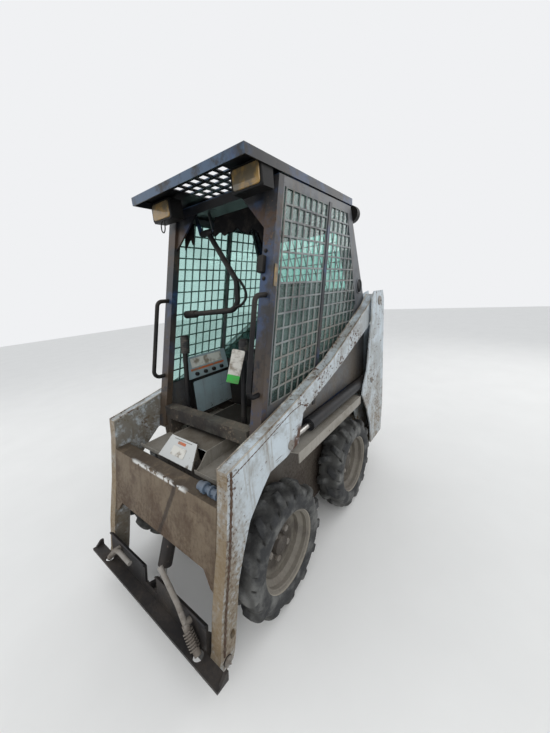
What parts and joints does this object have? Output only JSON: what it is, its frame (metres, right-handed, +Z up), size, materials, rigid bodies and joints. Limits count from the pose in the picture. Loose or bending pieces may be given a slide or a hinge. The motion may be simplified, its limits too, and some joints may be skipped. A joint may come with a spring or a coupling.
{
  "type": "skid_steer_loader",
  "caption": "Very small enclosed-cab skid steer loader with lift arms, quick attach frame, lugged tyres, mesh side windows, seat bar and rear door, in worn white and blue grey paint",
  "frame": {"origin": "on the floor under the middle of the whole machine's box", "axes": "+X forward, +Y to the machine's left, +Z up"},
  "size_m": [1.8016, 0.93, 1.8116],
  "materials": {
    "black_paint": "black paint, dirty",
    "black_plastic": "black plastic",
    "chrome_rod": "polished rod",
    "dark_paint": "dark blue grey paint",
    "engine_metal": "cast metal",
    "frame_paint": "white paint, dirty",
    "lamp_body": "black lamp housing",
    "red_lens": "red lens",
    "rim_paint": "beige paint, dusty",
    "steel": "worn steel",
    "tyre": "dusty worn black",
    "vinyl": "black seat cover",
    "white_paint": "weathered white paint",
    "window": "green tinted glass"
  },
  "bodies": {
    "chassis": {"lower_frame": "frame_paint", "axle_housings": "steel", "fenders": "frame_paint", "toe_pans": "frame_paint", "center_step": "white_paint", "front_sill": "dark_paint", "upright_left": "white_paint", "upright_right": "white_paint", "tail_frame": "white_paint", "engine_block": "engine_metal", "control_levers": "black_plastic", "tail_lamps": "red_lens"},
    "lift_arms": {"arm_left": "white_paint", "arm_right": "white_paint", "cross_member": "white_paint", "hose_coupler": "dark_paint"},
    "lift_barrel_left": {"lift_barrel_left": "black_paint"},
    "lift_barrel_right": {"lift_barrel_right": "black_paint"},
    "lift_rod_left": {"lift_rod_left": "chrome_rod"},
    "lift_rod_right": {"lift_rod_right": "chrome_rod"},
    "tilt_barrel": {"tilt_barrel": "black_paint"},
    "tilt_rod": {"tilt_rod": "chrome_rod"},
    "quick_attach": {"attach_frame": "black_paint", "attach_levers": "steel"},
    "cab": {"cab_frame": "dark_paint", "cab_side_left": "dark_paint", "cab_side_right": "dark_paint", "cab_glass": "window", "cab_roof": "dark_paint", "cab_rear_panel": "dark_paint", "cab_floor": "dark_paint", "seat_pan": "black_paint", "seat_cushions": "vinyl", "work_lamps": "lamp_body", "grab_handles": "dark_paint"},
    "seat_bar": {"seat_bar": "black_paint"},
    "rear_door": {"rear_door": "white_paint"},
    "engine_cover": {"engine_cover": "white_paint"},
    "wheel_front_left": {"tyre_front_left": "tyre", "rim_front_left": "rim_paint"},
    "wheel_front_right": {"tyre_front_right": "tyre", "rim_front_right": "rim_paint"},
    "wheel_rear_left": {"tyre_rear_left": "tyre", "rim_rear_left": "rim_paint"},
    "wheel_rear_right": {"tyre_rear_right": "tyre", "rim_rear_right": "rim_paint"}
  },
  "joints": [
    {"name": "front_left_wheel", "type": "hinge", "parent": "chassis", "child": "wheel_front_left", "pos_m": [0.44421, 0.385, 0.27563], "axis": [0, 1, 0], "continuous": true},
    {"name": "front_right_wheel", "type": "hinge", "parent": "chassis", "child": "wheel_front_right", "pos_m": [0.44421, -0.385, 0.27563], "axis": [0, 1, 0], "continuous": true},
    {"name": "rear_left_wheel", "type": "hinge", "parent": "chassis", "child": "wheel_rear_left", "pos_m": [-0.2778, 0.385, 0.27563], "axis": [0, 1, 0], "continuous": true},
    {"name": "rear_right_wheel", "type": "hinge", "parent": "chassis", "child": "wheel_rear_right", "pos_m": [-0.2778, -0.385, 0.27563], "axis": [0, 1, 0], "continuous": true},
    {"name": "lift", "type": "hinge", "parent": "chassis", "child": "lift_arms", "pos_m": [-0.74679, 0, 1.23963], "axis": [0, -1, 0], "range_deg": [0, 72]},
    {"name": "left_lift_barrel", "type": "hinge", "parent": "chassis", "child": "lift_barrel_left", "pos_m": [-0.61679, 0.387, 0.72163], "axis": [0, -1, 0], "range_deg": [0, 63.37]},
    {"name": "left_lift_rod", "type": "slide", "parent": "lift_barrel_left", "child": "lift_rod_left", "axis": [1, 0, 0], "range_m": [0, 0.60015]},
    {"name": "right_lift_barrel", "type": "hinge", "parent": "chassis", "child": "lift_barrel_right", "pos_m": [-0.61679, -0.387, 0.72163], "axis": [0, -1, 0], "range_deg": [0, 63.37]},
    {"name": "right_lift_rod", "type": "slide", "parent": "lift_barrel_right", "child": "lift_rod_right", "axis": [1, 0, 0], "range_m": [0, 0.60015]},
    {"name": "tilt", "type": "hinge", "parent": "lift_arms", "child": "quick_attach", "pos_m": [0.8112, 0, 0.11763], "axis": [0, 1, 0], "range_deg": [-17, 120]},
    {"name": "tilt_barrel_swing", "type": "hinge", "parent": "lift_arms", "child": "tilt_barrel", "pos_m": [0.64321, 0, 0.53963], "axis": [0, -1, 0], "range_deg": [-0.49, 3.48]},
    {"name": "tilt_rod_slide", "type": "slide", "parent": "tilt_barrel", "child": "tilt_rod", "axis": [0.3854, 0, -0.9228], "range_m": [-0.00677, 0.0478]},
    {"name": "cab_tilt", "type": "hinge", "parent": "chassis", "child": "cab", "pos_m": [-0.70079, 0, 1.21463], "axis": [0, -1, 0], "range_deg": [0, 35]},
    {"name": "seat_bar", "type": "hinge", "parent": "cab", "child": "seat_bar", "pos_m": [0.15599, 0, 1.65563], "axis": [0, -1, 0], "range_deg": [0, 60]},
    {"name": "rear_door", "type": "hinge", "parent": "chassis", "child": "rear_door", "pos_m": [-0.8918, 0.321, 0.68263], "axis": [0, 0, -1], "range_deg": [0, 105]},
    {"name": "engine_cover", "type": "hinge", "parent": "chassis", "child": "engine_cover", "pos_m": [-0.83179, 0, 1.08863], "axis": [0, -1, 0], "range_deg": [0, 80]}
  ],
  "couplings": [
    {"joint": "left_lift_barrel", "follows": "lift", "ratio": 0.8802},
    {"joint": "left_lift_rod", "follows": "lift", "m_per_rad": 0.47758},
    {"joint": "right_lift_barrel", "follows": "lift", "ratio": 0.8802},
    {"joint": "right_lift_rod", "follows": "lift", "m_per_rad": 0.47758},
    {"joint": "tilt_barrel_swing", "follows": "tilt", "ratio": 0.02896},
    {"joint": "tilt_rod_slide", "follows": "tilt", "m_per_rad": 0.022824}
  ]
}
